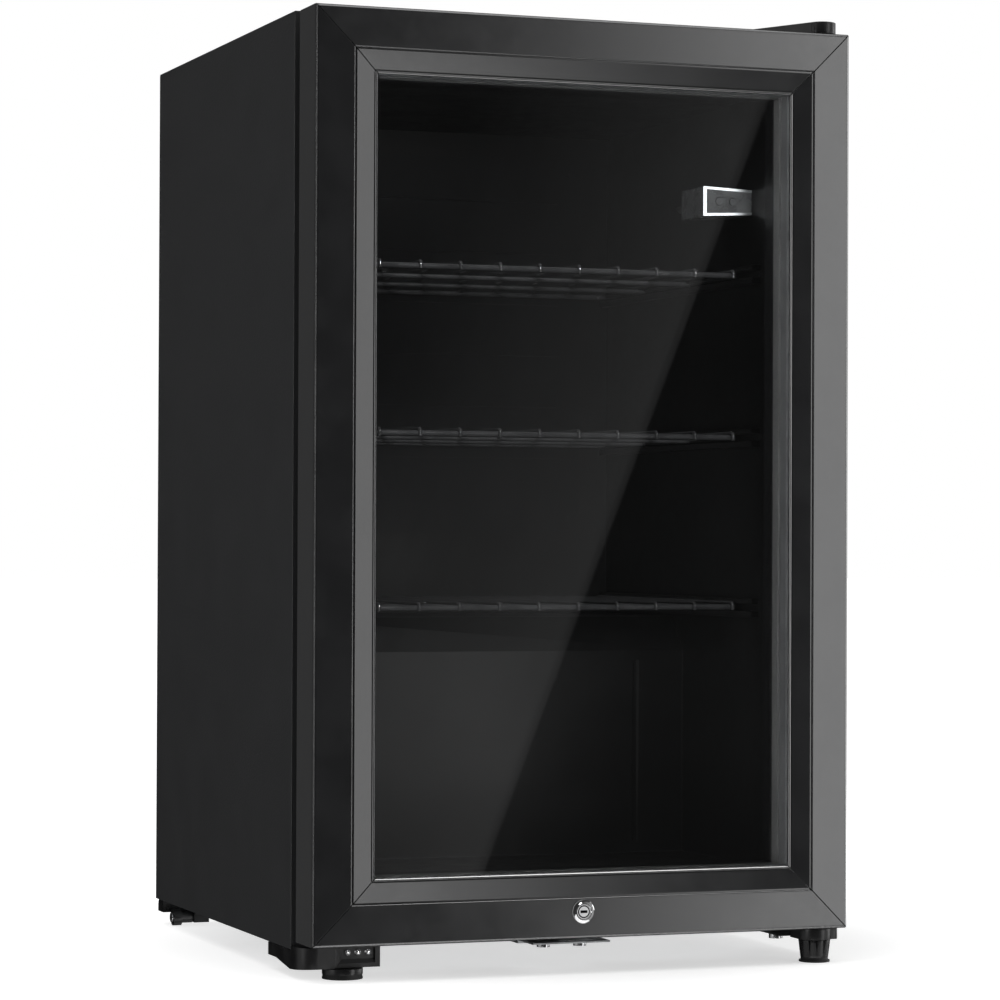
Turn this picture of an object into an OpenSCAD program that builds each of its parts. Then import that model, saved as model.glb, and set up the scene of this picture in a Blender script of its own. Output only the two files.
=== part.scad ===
// Glass-door mini fridge built as separate parts. Millimetres, front faces -Y, up is +Z.

/* [Cabinet] */
// Overall width
body_w = 440; // [430:5:460]
// Height of the cabinet box without feet
body_h = 711; // [690:1:740]
// Depth of the cabinet box behind the door gap
case_d = 396.5; // [390:0.5:420]
// Insulated side wall thickness
wall_t = 42; // [40:1:44]
// Height of the cabinet bottom above the floor
foot_h = 21; // [21:0.5:24]

/* [Door] */
// Door thickness
door_t = 42; // [40:1:44]
// Gap between the door and the cabinet, filled by the gasket
door_gap = 11.5; // [11:0.5:13]
// Width of the flat outer face of each rail
rail_face_w = 31; // [29:1:33]
// Total width of each rail up to the glass
rail_w = 50; // [48:1:52]

/* [Shelves] */
// Upper shelf height above the cabinet bottom
shelf_top_z = 525; // [505:1:545]
// Middle shelf height above the cabinet bottom
shelf_mid_z = 393.7; // [380:0.1:410]
// Lower shelf height above the cabinet bottom
shelf_low_z = 256.5; // [256.5:0.5:270]
// Spacing of the front-to-back wires
wire_pitch = 33.5; // [25:0.5:45]

/* [View] */
// Part to show

/* [Hidden] */
$fn = 48;

// Main planes: d is depth behind the door face, z is height above the cabinet bottom
gap = 0.1;
lock_proud = 2;
total_d = lock_proud + door_t + door_gap + case_d;
face_y = lock_proud - total_d / 2;
half_w = body_w / 2;
case_front = door_t + door_gap;
case_back = case_front + case_d;

// Cabinet sheet and walls
skin = 0.8;
flange_w = 16;
rear_flange_w = 9;
inner_half = half_w - skin - gap;
foam_back = case_back - 14;
foam_front = case_front + 1.6;

// Liner and its hump
liner_t = 1.5;
cav_x = half_w - wall_t;
cav_z0 = 49;
cav_z1 = body_h - 44;
cav_back = case_back - 50;
hump_d = 229;
hump_z = 218;
hump_slope_d = 23;
hump_slope_z = 28;
hump_top = hump_z + hump_slope_z;

// Machine room
room_front = 262;
room_top = 214;
floor_d0 = 268;
floor_d1 = case_back - 4.5;
floor_t = 1.5;

// Shelves and ledges
ledge_w = 7;
ledge_h = 5;
ledge_gap = 0.3;
frame_r = 2.5;
wire_r = 1.5;
shelf_d0 = 108;
shelf_d1 = cav_back - 10;
shelf_x = cav_x - 4.5;

// Door
door_z0 = 6.5;
door_top_gap = 1.5;
door_h = body_h - door_z0 - door_top_gap;
door_z1 = door_z0 + door_h;
mitre = 0.42;
rail_wall = 2;
rail_round = 2.6;
bevel_drop = 3;
pane_edge = rail_w - 6.5;
pane_t = 4;
pane_d0 = 5;
spacer_t = 10.5;
pane_d1 = pane_d0 + pane_t + spacer_t;
unit_back = pane_d1 + pane_t;
inner_edge = 36.3;
lip_d1 = case_front - 3;

// Gasket
seal_u0 = 19.5;
seal_u1 = 32;
seal_wall = 1.4;
seal_front = door_t + 0.2;
seal_back = case_front - 0.3;
dart_u0 = 25;
dart_u1 = 27.5;
dart_d = 4;

// Hinge axis
pivot_x = half_w - 19;
pivot_d = 20;
pin_r = 5;
run = 0.05;
bush_r = 8;
plate_t = 2.5;
low_plate_t = 2;

// Lock
lock_x = -3.5;
lock_z = 27;
lock_r = 8;
bezel_r = 9;
plug_r = 5.5;
cam_d0 = 25.2;
cam_t = 3;
cam_len = 30;
cam_r = 6;

// Front feet
left_foot_x = 36 - half_w;
left_foot_d = 38;
left_knob_r = 15.5;
stud_r = 3;
sole_t = 3.6;

// Rear rollers
roller_d = case_back - 26;
roller_r = 7;
drum_r = 5;
axle_r = 2.5;
roller_z = roller_r - foot_h;
roller_x = half_w - 8;

// Control unit on the right liner wall
ctrl_x0 = cav_x - 42;
ctrl_x1 = cav_x - 0.2;
ctrl_d0 = 92;
ctrl_d1 = 138;
ctrl_z = body_h - 127.6;
ctrl_h = 11.8;
ctrl_h_right = 10;
line_w = 2;

// Compressor
comp_x = 75;
comp_d = 350;
comp_r = 60;
comp_z0 = 14.7;
comp_h = 145;
comp_round = 30;
foot_dx = 68;
foot_dd = 42;
grommet_h = 10;
tray_z = comp_z0 + comp_h + 0.4;
drain_x = 10;
drain_d = 392;

module at_face() {
  translate([0, face_y, foot_h])
    children();
}

module block(x0, x1, d0, d1, z0, z1) {
  translate([x0, d0, z0])
    cube([x1 - x0, d1 - d0, z1 - z0]);
}

module side_prism(x0, x1, points) {
  translate([x0, 0, 0])
    rotate([90, 0, 90])
      linear_extrude(height = x1 - x0)
        polygon(points);
}

module rod_x(x0, x1, d, z, r) {
  translate([x0, d, z])
    rotate([0, 90, 0])
      cylinder(h = x1 - x0, r = r);
}

module rod_d(d0, d1, x, z, r) {
  translate([x, d0, z])
    rotate([-90, 0, 0])
      cylinder(h = d1 - d0, r = r);
}

module rod_z(z0, z1, x, d, r) {
  translate([x, d, z0])
    cylinder(h = z1 - z0, r = r);
}

// Tube along a list of points, with a ball at each bend
module pipe(points, r) {
  for (i = [0 : len(points) - 2]) {
    step = points[i + 1] - points[i];
    span = norm(step);
    translate(points[i])
      rotate([0, acos(step[2] / span), atan2(step[1], step[0])])
        cylinder(h = span, r = r);
  }
  for (i = [1 : len(points) - 2])
    translate(points[i])
      sphere(r = r);
}

// Door-sized frame between two distances from the door edge
module ring(u0, u1, d0, d1) {
  difference() {
    block(u0 - half_w, half_w - u0, d0, d1, door_z0 + u0, door_z1 - u0);
    block(u1 - half_w, half_w - u1, d0 - 1, d1 + 1, door_z0 + u1, door_z1 - u1);
  }
}

// Flat plate in the front view with rounded corners
module round_plate(x0, x1, d0, d1, z0, z1, r) {
  block(x0 + r, x1 - r, d0, d1, z0, z1);
  block(x0, x1, d0, d1, z0 + r, z1 - r);
  for (x = [x0 + r, x1 - r], z = [z0 + r, z1 - r])
    rod_d(d0, d1, x, z, r);
}

// Pan-head screw with its head at the bottom or the top
module screw_down(x, d, z, length, r, head_r, head_t) {
  rod_z(z, z + head_t, x, d, head_r);
  rod_z(z - length, z, x, d, r);
}

module screw_up(x, d, z, length, r, head_r, head_t) {
  rod_z(z - head_t, z, x, d, head_r);
  rod_z(z, z + length, x, d, r);
}

// ---- Cabinet skins ----
panel_top = body_h - skin - gap;

module side_panel() {
  block(half_w - skin, half_w, case_front, case_back, 0, panel_top);
  block(half_w - flange_w, half_w, case_front, case_front + skin, 0, panel_top);
  block(half_w - rear_flange_w, half_w, case_back - skin, case_back, 0, panel_top);
}

module left_side_panel() {
  color("#26272a")
    at_face()
      mirror([1, 0, 0])
        side_panel();
}

module right_side_panel() {
  color("#26272a")
    at_face()
      side_panel();
}

hinge_screws = [[pivot_x - 40, 84], [pivot_x - 14, 66], [pivot_x + 2, 88]];
hinge_screw_r = 2.5;

module top_panel() {
  tab = half_w - flange_w - gap;
  color("#26272a")
    at_face()
      difference() {
        union() {
          block(-half_w, half_w, case_front, case_back, body_h - skin, body_h);
          block(-tab, tab, case_front, case_front + skin, body_h - flange_w, body_h);
          block(-tab, tab, case_back - skin, case_back, body_h - rear_flange_w, body_h);
        }
        for (p = hinge_screws)
          rod_z(body_h - 5, body_h + 1, p[0], p[1], hinge_screw_r + gap);
      }
}

lower_bolts = [[pivot_x - 13, 64], [pivot_x + 8, 88]];
lower_bolt_r = 3;
strike_screw_x = [lock_x - 8.5, lock_x + 22];
strike_screw_d = 62;
strike_screw_r = 2;

module base_holes(z0, z1) {
  for (p = lower_bolts)
    rod_z(z0, z1, p[0], p[1], lower_bolt_r + gap);
  for (x = strike_screw_x)
    rod_z(z0, z1, x, strike_screw_d, strike_screw_r + gap);
}

tube_hole_r = 4;
suction_x = -100;
suction_d = foam_back - 16;

module base_panel() {
  tab = half_w - flange_w - gap;
  back = foam_back - gap;
  start = case_front + skin + gap;
  color("#8f9296")
    at_face()
      difference() {
        union() {
          side_prism(-inner_half, inner_half, [[start, 0], [room_front + skin, 0],
            [room_front + skin, room_top], [back, room_top], [back, room_top + skin],
            [room_front, room_top + skin], [room_front, skin], [start, skin]]);
          block(-tab, tab, case_front, start + 1, 0, skin);
          block(-tab, tab, case_front, case_front + skin, 0, flange_w);
        }
        base_holes(-1, skin + 1);
        rod_z(room_top - 1, room_top + 2, drain_x, drain_d, 6.5);
        rod_z(room_top - 1, room_top + 2, suction_x, suction_d, tube_hole_r);
      }
}

module liner_volume(half, grow, front) {
  side_prism(-half, half, [[front, cav_z0 - grow], [hump_d + grow, cav_z0 - grow],
    [hump_d + grow, hump_z - grow * 0.4], [hump_d + hump_slope_d + grow * 0.5, hump_top - grow],
    [cav_back + grow, hump_top - grow], [cav_back + grow, cav_z1 + grow],
    [front, cav_z1 + grow]]);
}

suction_z = cav_z1 - 340;

module foam_insulation() {
  low = skin + gap;
  cut = liner_t + gap;
  color("#d9cf9c")
    at_face()
      difference() {
        side_prism(-inner_half, inner_half, [[foam_front, low], [room_front - gap, low],
          [room_front - gap, room_top + skin + gap], [foam_back, room_top + skin + gap],
          [foam_back, panel_top], [foam_front, panel_top]]);
        liner_volume(cav_x + cut, cut, 0);
        base_holes(-1, 16);
        for (p = hinge_screws)
          rod_z(body_h - 16, body_h + 1, p[0], p[1], hinge_screw_r + gap);
        rod_z(room_top - 1, hump_top, drain_x, drain_d, 6.5);
        rod_z(room_top - 1, suction_z + tube_hole_r, suction_x, suction_d, tube_hole_r);
        rod_d(cav_back, suction_d, suction_x, suction_z, tube_hole_r);
      }
}

module ledges(shelf_z) {
  low = shelf_z - frame_r - ledge_gap;
  high = shelf_z + frame_r + 0.7;
  for (x = [-cav_x, cav_x - ledge_w]) {
    block(x, x + ledge_w, 76, cav_back, low - ledge_h, low);
    block(x, x + ledge_w, 76, cav_back, high, high + ledge_h - 1);
  }
}

module inner_liner() {
  edge = half_w - flange_w - 0.5;
  color("#2b2d30")
    at_face()
      difference() {
        union() {
          difference() {
            union() {
              liner_volume(cav_x + liner_t, liner_t, case_front);
              block(-edge, edge, case_front, case_front + liner_t, flange_w + 0.5,
                body_h - flange_w - 0.5);
            }
            liner_volume(cav_x, 0, 0);
          }
          ledges(shelf_top_z);
          ledges(shelf_mid_z);
          ledges(shelf_low_z);
        }
        rod_z(hump_top - 5, hump_top + 5, drain_x, drain_d, 4.5);
        rod_d(cav_back - 1, cav_back + 5, suction_x, suction_z, tube_hole_r);
        block(cav_x - 45, cav_x - 41, hump_d - 1, hump_d + 0.9, cav_z0 + 10, hump_z - 8);
      }
}

screw_spots = [[-190, 240], [0, 240], [190, 240], [-190, 470], [190, 470], [-190, 690],
  [0, 690], [190, 690]];

module back_panel() {
  color("#6d7075")
    at_face()
      difference() {
        block(-inner_half, inner_half, foam_back + gap, foam_back + gap + skin, room_top,
          panel_top);
        for (p = screw_spots)
          rod_d(foam_back - 1, foam_back + 3, p[0] * body_w / 440, p[1] * body_h / 711, 1.7);
      }
}

module back_screws() {
  face = foam_back + gap + skin;
  color("#b9bbbd")
    at_face()
      for (p = screw_spots) {
        rod_d(face + gap, face + 2, p[0] * body_w / 440, p[1] * body_h / 711, 3.5);
        rod_d(foam_back + 0.05, face + gap, p[0] * body_w / 440, p[1] * body_h / 711, 1.6);
      }
}

// ---- Cooling circuit ----
evap_half = 150;
evap_z0 = cav_z1 - 350;
evap_z1 = cav_z1 - 22;
evap_front = cav_back - 4.5;

module evaporator_plate() {
  color("#8e9499")
    at_face() {
      difference() {
        union() {
          round_plate(-evap_half, evap_half, evap_front, evap_front + 1.5, evap_z0, evap_z1, 16);
          for (i = [0 : 6])
            round_plate(18 - evap_half, evap_half - 18, evap_front - 1.2, evap_front + 0.2,
              evap_z0 + 20 + i * 45, evap_z0 + 28 + i * 45, 3.5);
        }
        for (x = [-evap_half + 10, evap_half - 10], z = [evap_z0 + 12, evap_z1 - 12])
          rod_d(evap_front - 2, evap_front + 2, x, z, 2);
      }
      for (x = [-evap_half + 10, evap_half - 10], z = [evap_z0 + 12, evap_z1 - 12])
        rod_d(evap_front - 1, cav_back - gap, x, z, 1.9);
    }
}

coil_half = 178;
coil_r = 2.4;
coil_d = foam_back + 5.5;
coil_step = 44;
coil_z0 = 256;
coil_rows = 10;

module condenser_tube() {
  color("#1f2022")
    at_face() {
      for (i = [0 : coil_rows - 1])
        rod_x(-coil_half, coil_half, coil_d, coil_z0 + i * coil_step, coil_r);
      for (i = [0 : coil_rows - 2])
        translate([i % 2 == 0 ? coil_half : -coil_half, coil_d, coil_z0 + (i + 0.5) * coil_step])
          rotate([90, i % 2 == 0 ? 0 : 180, 0])
            rotate([0, 0, -90])
              rotate_extrude(angle = 180)
                translate([coil_step / 2, 0])
                  circle(r = coil_r);
    }
}

module condenser_wires() {
  color("#1f2022")
    at_face()
      for (i = [-13 : 13])
        rod_z(coil_z0 - 14, coil_z0 + (coil_rows - 1) * coil_step + 14, i * 13,
          coil_d + coil_r + 0.9, 0.8);
}

module rounded_can(r, h, round) {
  rotate_extrude()
    union() {
      square([r - round, h]);
      translate([0, round])
        square([r, h - 2 * round]);
      translate([r - round, h - round])
        circle(r = round);
      translate([r - round, round])
        circle(r = round);
    }
}

module compressor() {
  color("#17181a")
    at_face()
      difference() {
        union() {
          translate([comp_x, comp_d, comp_z0 + 1])
            rounded_can(comp_r, comp_h - 1, comp_round);
          rod_z(comp_z0 + 70, comp_z0 + 76, comp_x, comp_d, comp_r + 2.5);
          block(comp_x - foot_dx - 12, comp_x + foot_dx + 12, comp_d - 32, comp_d + 32,
            comp_z0, comp_z0 + 3);
          for (s = [-1, 1], t = [-1, 1])
            block(comp_x + s * foot_dx - 12, comp_x + s * foot_dx + 12, comp_d + t * foot_dd - 12,
              comp_d + t * foot_dd + 12, comp_z0, comp_z0 + 3);
        }
        for (s = [-1, 1], t = [-1, 1])
          rod_z(comp_z0 - 1, comp_z0 + 4, comp_x + s * foot_dx, comp_d + t * foot_dd, 3.4);
      }
}

module comp_feet() {
  for (s = [-1, 1], t = [-1, 1])
    translate([comp_x + s * foot_dx, comp_d + t * foot_dd, 0])
      children();
}

module compressor_grommets() {
  color("#1c1c1c")
    at_face()
      comp_feet()
        difference() {
          union() {
            rod_z(comp_z0 - grommet_h - 2.9, comp_z0 - gap, 0, 0, 8);
            rod_z(comp_z0 - grommet_h - 2.9, comp_z0 - grommet_h, 0, 0, 10);
            rod_z(comp_z0 - 3, comp_z0 - gap, 0, 0, 10);
          }
          rod_z(-5, comp_z0 + 5, 0, 0, 3.3);
        }
}

module compressor_bolts() {
  color("#b9bbbd")
    at_face()
      comp_feet() {
        rod_z(-4, comp_z0 + 3.1, 0, 0, 3);
        rod_z(comp_z0 + 3.1, comp_z0 + 4.4, 0, 0, 8);
        translate([0, 0, comp_z0 + 4.4])
          cylinder(h = 4.5, r = 5.8, $fn = 6);
      }
}

module relay_box() {
  x0 = comp_x + comp_r + 3;
  color("#222326")
    at_face()
      difference() {
        union() {
          block(x0, x0 + 30, comp_d - 26, comp_d + 26, 55, 112);
          block(x0 + 30, x0 + 33, comp_d - 21, comp_d + 21, 60, 107);
        }
        block(x0 + 2, x0 + 28, comp_d - 24, comp_d + 24, 57, 110);
        rod_d(comp_d + 20, comp_d + 30, x0 + 15, 70, 5);
      }
}

gland_x = -150;
gland_z = 16;

module machine_floor_plate() {
  color("#8f9296")
    at_face()
      difference() {
        union() {
          block(-inner_half, inner_half, floor_d0, floor_d1, gap, gap + floor_t);
          block(-inner_half, inner_half, floor_d1 - floor_t, floor_d1, gap, 32);
          block(-inner_half, inner_half, floor_d0, floor_d0 + floor_t, gap, 14);
        }
        comp_feet()
          rod_z(-1, 3, 0, 0, 3.2);
        rod_d(floor_d1 - 3, floor_d1 + 2, gland_x, gland_z, 7);
      }
}

module cord_gland() {
  color("#1c1c1c")
    at_face()
      difference() {
        union() {
          rod_d(floor_d1 - floor_t - 4, floor_d1 + 4, gland_x, gland_z, 6.9);
          rod_d(floor_d1 + gap, floor_d1 + 4, gland_x, gland_z, 9.5);
          rod_d(floor_d1 - floor_t - 4, floor_d1 - floor_t - gap, gland_x, gland_z, 9.5);
        }
        rod_d(floor_d1 - 12, floor_d1 + 12, gland_x, gland_z, 3.8);
      }
}

drier_x = -60;
drier_d = case_back - 30;

module filter_drier() {
  color("#b87444")
    at_face() {
      rod_z(60, 120, drier_x, drier_d, 8);
      translate([drier_x, drier_d, 120])
        cylinder(h = 12, r1 = 8, r2 = 3);
      translate([drier_x, drier_d, 48])
        cylinder(h = 12, r1 = 3, r2 = 8);
      rod_z(132, 140, drier_x, drier_d, 2.5);
    }
}

module refrigerant_tubes() {
  side = comp_x - comp_r;
  color("#b87444")
    at_face() {
      pipe([[side - 0.5, comp_d, 100], [-25, comp_d, 100], [-25, coil_d, 100], [-25, coil_d, 205],
        [-coil_half + 4, coil_d, 205], [-coil_half + 4, coil_d, coil_z0 - coil_r - 0.3]], 2.4);
      pipe([[side - 0.5, comp_d - 10, 80], [-45, comp_d - 10, 80], [-45, comp_d - 10, 190],
        [suction_x, suction_d, 190], [suction_x, suction_d, suction_z],
        [suction_x, evap_front + 2, suction_z]], 3);
    }
}

module evaporation_tray() {
  color("#1d1e20")
    at_face()
      difference() {
        block(comp_x - 75, comp_x + 45, comp_d - 55, comp_d + 55, tray_z, tray_z + 26);
        block(comp_x - 73, comp_x + 43, comp_d - 53, comp_d + 53, tray_z + 2, tray_z + 30);
      }
}

module drain_tube() {
  color("#c9cbcc")
    at_face()
      difference() {
        rod_z(tray_z + 8, hump_top - liner_t - 0.2, drain_x, drain_d, 6);
        rod_z(tray_z, hump_top + 1, drain_x, drain_d, 4.4);
      }
}

// ---- Rear rollers ----
module each_side() {
  children();
  mirror([1, 0, 0])
    children();
}

arm_x = roller_x - 17.4;

module roller_brackets() {
  rear_d = roller_d + roller_r + 1.5;
  rear_end = case_back - 0.6;
  rear_x = half_w - 2;
  rear_r = 5;
  rear_z = -10.6;
  color("#17181a")
    at_face()
      each_side()
        difference() {
          union() {
            block(arm_x - 13, arm_x, roller_d - 10, roller_d + 20, -11, 0);
            block(arm_x - 13, arm_x, roller_d - 7, roller_d + 7, roller_z - 4.5, 0);
            block(arm_x - 1, rear_x, rear_d, rear_end - rear_r, rear_z, 0);
            block(arm_x - 1, rear_x, rear_d, rear_end, rear_z, -rear_r);
            rod_x(arm_x - 1, rear_x, rear_end - rear_r, -rear_r, rear_r);
          }
          rod_x(roller_x - 35, roller_x + 10, roller_d, roller_z, axle_r + run);
        }
}

module roller_axles() {
  color("#c4c6c8")
    at_face()
      each_side() {
        rod_x(roller_x - 31, roller_x + 1.5, roller_d, roller_z, axle_r);
        rod_x(roller_x + 0.4, roller_x + 1.5, roller_d, roller_z, axle_r + 1.5);
      }
}

module roller() {
  difference() {
    union() {
      rod_x(roller_x - 7, roller_x, roller_d, roller_z, roller_r);
      rod_x(roller_x - 17, roller_x - 7, roller_d, roller_z, drum_r);
    }
    rod_x(roller_x - 20, roller_x + 3, roller_d, roller_z, axle_r + run);
    for (a = [30 : 120 : 270])
      translate([0, roller_d + 5.1 * cos(a), roller_z + 5.1 * sin(a)])
        rod_x(roller_x - 1.2, roller_x + 1, 0, 0, 0.9);
  }
}

module left_roller() {
  color("#2a2a2c")
    at_face()
      mirror([1, 0, 0])
        roller();
}

module right_roller() {
  color("#2a2a2c")
    at_face()
      roller();
}

// ---- Control unit ----
module ctrl_face(shrink, d0, d1) {
  translate([0, d1, 0])
    rotate([90, 0, 0])
      linear_extrude(height = d1 - d0)
        polygon([[ctrl_x0 + shrink, ctrl_z - ctrl_h + shrink],
          [ctrl_x1, ctrl_z - ctrl_h_right + shrink],
          [ctrl_x1, ctrl_z + ctrl_h_right - shrink],
          [ctrl_x0 + shrink, ctrl_z + ctrl_h - shrink]]);
}

button_r = 3;
button_x = [ctrl_x0 + 13, ctrl_x0 + 25];

module control_housing() {
  color("#35373a")
    at_face()
      difference() {
        ctrl_face(0, ctrl_d0, ctrl_d1);
        difference() {
          ctrl_face(-1, ctrl_d0 - 1, ctrl_d0 + 2);
          ctrl_face(line_w, ctrl_d0 - 2, ctrl_d0 + 3);
        }
        ctrl_face(4, ctrl_d0 + 6, ctrl_d1 - 3);
        for (x = button_x)
          rod_d(ctrl_d0 - 1, ctrl_d0 + 8, x, ctrl_z, button_r + 0.35);
      }
}

module light_guide() {
  color("#eef6ff")
    at_face()
      difference() {
        ctrl_face(0, ctrl_d0 - 0.5, ctrl_d0 + 1.9);
        ctrl_face(line_w - gap, ctrl_d0 - 1, ctrl_d0 + 3);
      }
}

module button(x) {
  rod_d(ctrl_d0 - 1, ctrl_d0 + 7, x, ctrl_z, button_r);
  rod_d(ctrl_d0 + 6.6, ctrl_d0 + 8.5, x, ctrl_z, button_r + 1);
}

module up_button() {
  color("#5a5d61")
    at_face()
      button(button_x[0]);
}

module down_button() {
  color("#5a5d61")
    at_face()
      button(button_x[1]);
}

module temperature_sensor() {
  color("#c9cbcc")
    at_face() {
      rod_d(190, 226, cav_x - 5, ctrl_z + 6, 3.5);
      block(cav_x - 6.5, cav_x - gap, 198, 204, ctrl_z + 1, ctrl_z + 11);
    }
}

// ---- Hinges and front fittings ----
nose_x = pivot_x + 3;
nose_r = 12;

module hinge_plan(edge, z0, z1) {
  r = nose_r - edge;
  translate([0, 0, z0])
    linear_extrude(height = z1 - z0)
      union() {
        translate([nose_x, pivot_d])
          circle(r = r);
        polygon([[nose_x - r * 0.72, pivot_d - r * 0.694], [nose_x + r, pivot_d],
          [nose_x + r, 108 - edge], [pivot_x - 58 + edge, 108 - edge],
          [pivot_x - 58 + edge, 84 + edge * 0.5]]);
      }
}

hinge_z0 = body_h + gap;

module top_hinge_plate() {
  color("#b9bbbd")
    at_face() {
      difference() {
        hinge_plan(3, hinge_z0, hinge_z0 + plate_t);
        for (p = hinge_screws)
          rod_z(body_h - 1, body_h + 9, p[0], p[1], hinge_screw_r + gap);
      }
      rod_z(door_z1 - 20, hinge_z0 + 1, pivot_x, pivot_d, pin_r);
    }
}

module top_hinge_screws() {
  color("#b9bbbd")
    at_face()
      for (p = hinge_screws)
        screw_down(p[0], p[1], hinge_z0 + plate_t + gap, 16, hinge_screw_r, 4.5, 1.6);
}

cover_h = 9;

module hinge_cover() {
  color("#1d1e20")
    at_face()
      difference() {
        intersection() {
          hinge_plan(0, hinge_z0, body_h + cover_h);
          side_prism(0, body_w, [[0, body_h], [120, body_h], [120, body_h + 5],
            [pivot_d - nose_r, body_h + cover_h], [0, body_h + cover_h]]);
        }
        hinge_plan(1.8, body_h - 1, body_h + 4.6);
      }
}

module lower_hinge_plate() {
  z1 = -0.3;
  nose_z0 = -3.3;
  nose_z1 = door_z0 - 1.3;
  corner_r = 5;
  color("#2b2c2e")
    at_face()
      difference() {
        union() {
          block(pivot_x - 23, half_w - 1, 36, 104, z1 - low_plate_t, z1);
          block(pivot_x - 13, half_w - 1, pivot_d, 37, nose_z0, nose_z1);
          block(pivot_x, half_w - 1 - corner_r, 12, 37, nose_z0, nose_z1);
          rod_z(nose_z0, nose_z1, half_w - 1 - corner_r, 12 + corner_r, corner_r);
          block(pivot_x, half_w - 1, 12 + corner_r, 37, nose_z0, nose_z1);
          rod_z(nose_z0, nose_z1, pivot_x, pivot_d, 13);
          rod_z(nose_z0, door_z0 + 22, pivot_x, pivot_d, pin_r);
        }
        rod_z(-9, door_z0 + 10, pivot_x, pivot_d, stud_r + run);
        for (p = lower_bolts)
          rod_z(-9, 3, p[0], p[1], lower_bolt_r + gap);
      }
}

brk_front = 30;
brk_x1 = 64 - half_w;
brk_mid = 31 - half_w;
brk_round = 14;
brk_top = 3;
recess_d = 34.2;
lip = 3.2;
lip_front = brk_front + 2;
lip_reach = lip * (1 + 3 / (recess_d - lip_front));

module bracket_plan() {
  union() {
    block(brk_round - half_w, brk_x1, brk_front, 113, -20, 10);
    block(-half_w, brk_x1, brk_front + brk_round, 113, -20, 10);
    rod_z(-20, 10, brk_round - half_w, brk_front + brk_round, brk_round);
  }
}

module bolt_recess() {
  x0 = brk_mid + 3;
  x1 = brk_x1 - 4;
  z0 = -6.2;
  z1 = brk_top - 0.8;
  intersection() {
    side_prism(x0 - lip_reach, x1, [[recess_d, z0], [recess_d, z1], [lip_front - 3, z1],
      [lip_front - 3, z0 - lip_reach]]);
    translate([0, 0, z0 - lip_reach])
      linear_extrude(height = z1 - z0 + lip_reach)
        polygon([[x0, recess_d], [x1, recess_d], [x1, lip_front - 3],
          [x0 - lip_reach, lip_front - 3]]);
  }
}

module corner_bracket() {
  color("#161719")
    at_face()
      difference() {
        intersection() {
          bracket_plan();
          union() {
            side_prism(-half_w, brk_mid, [[brk_front, -13], [56, -14.8], [92, -10], [113, -10],
              [113, -0.2], [case_front - 0.4, -0.2], [case_front - 0.4, brk_top],
              [brk_front, brk_top]]);
            side_prism(brk_mid - 1, brk_x1, [[brk_front + 2, -12.7], [80, -12.7], [80, -0.2],
              [case_front - 0.4, -0.2], [case_front - 0.4, brk_top], [brk_front + 2, brk_top]]);
          }
        }
        block(3 - half_w, brk_mid - 2, 50, 110, -20, -3.2);
        block(brk_mid + 3, brk_x1 - 3, 52, 77, -20, -3.2);
        bolt_recess();
        rod_z(-20, 1, left_foot_x, left_foot_d, stud_r + run);
        rod_z(-20, -12.7, left_foot_x, left_foot_d, left_knob_r + 0.6);
      }
}

module spare_hinge_bolts() {
  color("#d5d7d9")
    at_face()
      for (i = [0 : 2]) {
        rod_d(brk_front + 2.4, recess_d - gap, brk_mid + 8 + i * 8, -1.4, 1.7);
        rod_d(recess_d - gap - 0.7, recess_d - gap, brk_mid + 8 + i * 8, -1.4, 2.7);
      }
}

slot_x0 = lock_x - 9;
slot_x1 = lock_x + 21;
slot_d0 = cam_d0 - 1.2;
slot_d1 = cam_d0 + cam_t + 1.2;

module strike_plate() {
  t = 1.5;
  color("#b9bbbd")
    at_face()
      difference() {
        side_prism(lock_x - 34, lock_x + 30, [[slot_d0 - 6, 0.6], [case_front - 2.5, 0.6],
          [case_front - 2.5, -t - 0.3], [78, -t - 0.3], [78, -0.3], [case_front - 1, -0.3],
          [case_front - 1, 0.6 + t], [slot_d0 - 6, 0.6 + t]]);
        block(slot_x0, slot_x1, slot_d0, slot_d1, -3, 5);
        for (x = strike_screw_x)
          rod_z(-5, 3, x, strike_screw_d, strike_screw_r + gap);
      }
}

module underside_screws() {
  color("#d5d7d9")
    at_face() {
      for (p = lower_bolts)
        screw_up(p[0], p[1], -0.4 - low_plate_t, 16, lower_bolt_r, 5.5, 4.6);
      for (x = strike_screw_x)
        screw_up(x, strike_screw_d, -1.9, 14, strike_screw_r, 5.2, 4.6);
    }
}

// ---- Door ----
bevel_u0 = rail_face_w + 1.4;
bead_u0 = rail_w - 3;

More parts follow.
